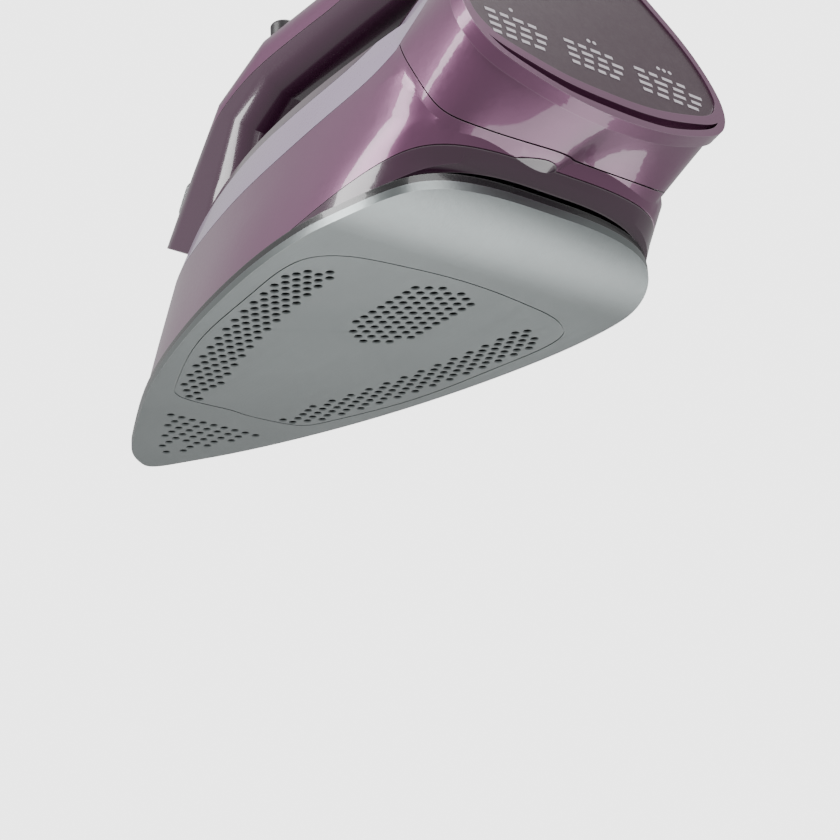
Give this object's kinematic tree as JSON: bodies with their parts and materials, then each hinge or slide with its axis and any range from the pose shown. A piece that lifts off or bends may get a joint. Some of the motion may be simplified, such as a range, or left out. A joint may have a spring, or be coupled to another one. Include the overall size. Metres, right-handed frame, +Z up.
{
  "type": "steam iron",
  "caption": "Steam iron with a perforated, rear-curled soleplate, arched handle, sprung buttons, turning dial, hinged fill door and a slanted heel to stand on.",
  "frame": {"origin": "centre of the bounding box's base, on the plane of the soleplate's ironing face", "axes": "+Z up from the ironing face, -Y towards the soleplate's tip, +Y towards the heel, +X to the iron's left; mirror plane X = 0 apart from the buttons' functions"},
  "size_m": [0.1248, 0.2625, 0.1555],
  "materials": {
    "violet_gloss": "metallic violet gloss",
    "plum_gloss": "dark plum gloss",
    "lilac_gloss": "pearl lilac",
    "heel_plum": "satin plum",
    "brushed_sole": "lengthways brushed, anodised",
    "black_trim": "gloss black",
    "cast_alu": "as cast",
    "sheet_steel": "plain",
    "heater": "oxidised",
    "screw_steel": "zinc plated",
    "ceramic_part": "moulded",
    "clear_tank": "clear polycarbonate",
    "clear_lid": "clear polycarbonate",
    "brass_valve": "turned",
    "black_plastic": "fine satin",
    "rubber_black": "soft",
    "white_print": "pad print",
    "spring_steel": "bright wire"
  },
  "bodies": {
    "iron": {"soleplate": "brushed_sole", "sole_rim": "black_trim", "steam_chamber": "cast_alu", "chamber_cover": "sheet_steel", "heating_element": "heater", "chamber_screws": "screw_steel", "thermostat": "ceramic_part", "thermal_fuse": "ceramic_part", "housing_skirt": "plum_gloss", "housing_lower": "violet_gloss", "housing_rear": "violet_gloss", "stripe_left": "lilac_gloss", "stripe_right": "lilac_gloss", "tank_deck": "plum_gloss", "handle_core": "plum_gloss", "handle_cover": "violet_gloss", "water_tank": "clear_tank", "fill_tube": "clear_tank", "drip_guide": "brass_valve", "dial_scale": "lilac_gloss", "spray_spring": "spring_steel", "steam_spring": "spring_steel", "pump_block": "black_plastic", "spray_nozzle": "black_plastic", "fill_spout": "rubber_black", "door_pin": "screw_steel", "door_lugs": "clear_lid", "heel_rim": "violet_gloss", "heel_panel": "heel_plum", "care_dots": "white_print", "care_bars": "white_print", "terminal_block": "ceramic_part"},
    "dial": {"dial_knob": "black_plastic", "dial_spindle": "screw_steel"},
    "valve": {"valve_needle": "brass_valve"},
    "spray": {"spray_button": "black_plastic"},
    "steam": {"steam_button": "black_plastic"},
    "door": {"fill_door": "clear_lid"},
    "gland": {"cord_gland": "rubber_black"}
  },
  "joints": [
    {"name": "dial_turn", "type": "hinge", "parent": "iron", "child": "dial", "pos_m": [0, 0.024, 0.0764], "axis": [0, 0, 1], "range_deg": [0, 300]},
    {"name": "valve_lift", "type": "slide", "parent": "iron", "child": "valve", "axis": [0, 0, 1], "range_m": [0, 0.002]},
    {"name": "spray_press", "type": "slide", "parent": "iron", "child": "spray", "axis": [0, 0, -1], "range_m": [0, 0.003], "stiffness_N_per_m": 700, "springref_m": -0.001, "deforming": ["spray_spring"]},
    {"name": "steam_press", "type": "slide", "parent": "iron", "child": "steam", "axis": [0, 0, -1], "range_m": [0, 0.003], "stiffness_N_per_m": 700, "springref_m": -0.001, "deforming": ["steam_spring"]},
    {"name": "door_swing", "type": "hinge", "parent": "iron", "child": "door", "pos_m": [0, -0.09153, 0.07945], "axis": [1, 0, 0], "range_deg": [0, 80]},
    {"name": "cord_swivel", "type": "hinge", "parent": "iron", "child": "gland", "pos_m": [0, 0.078, 0.131], "axis": [1, 0, 0], "range_deg": [-22, 12]}
  ],
  "couplings": [
    {"joint": "valve_lift", "follows": "dial_turn", "m_per_rad": 0.00038197}
  ]
}
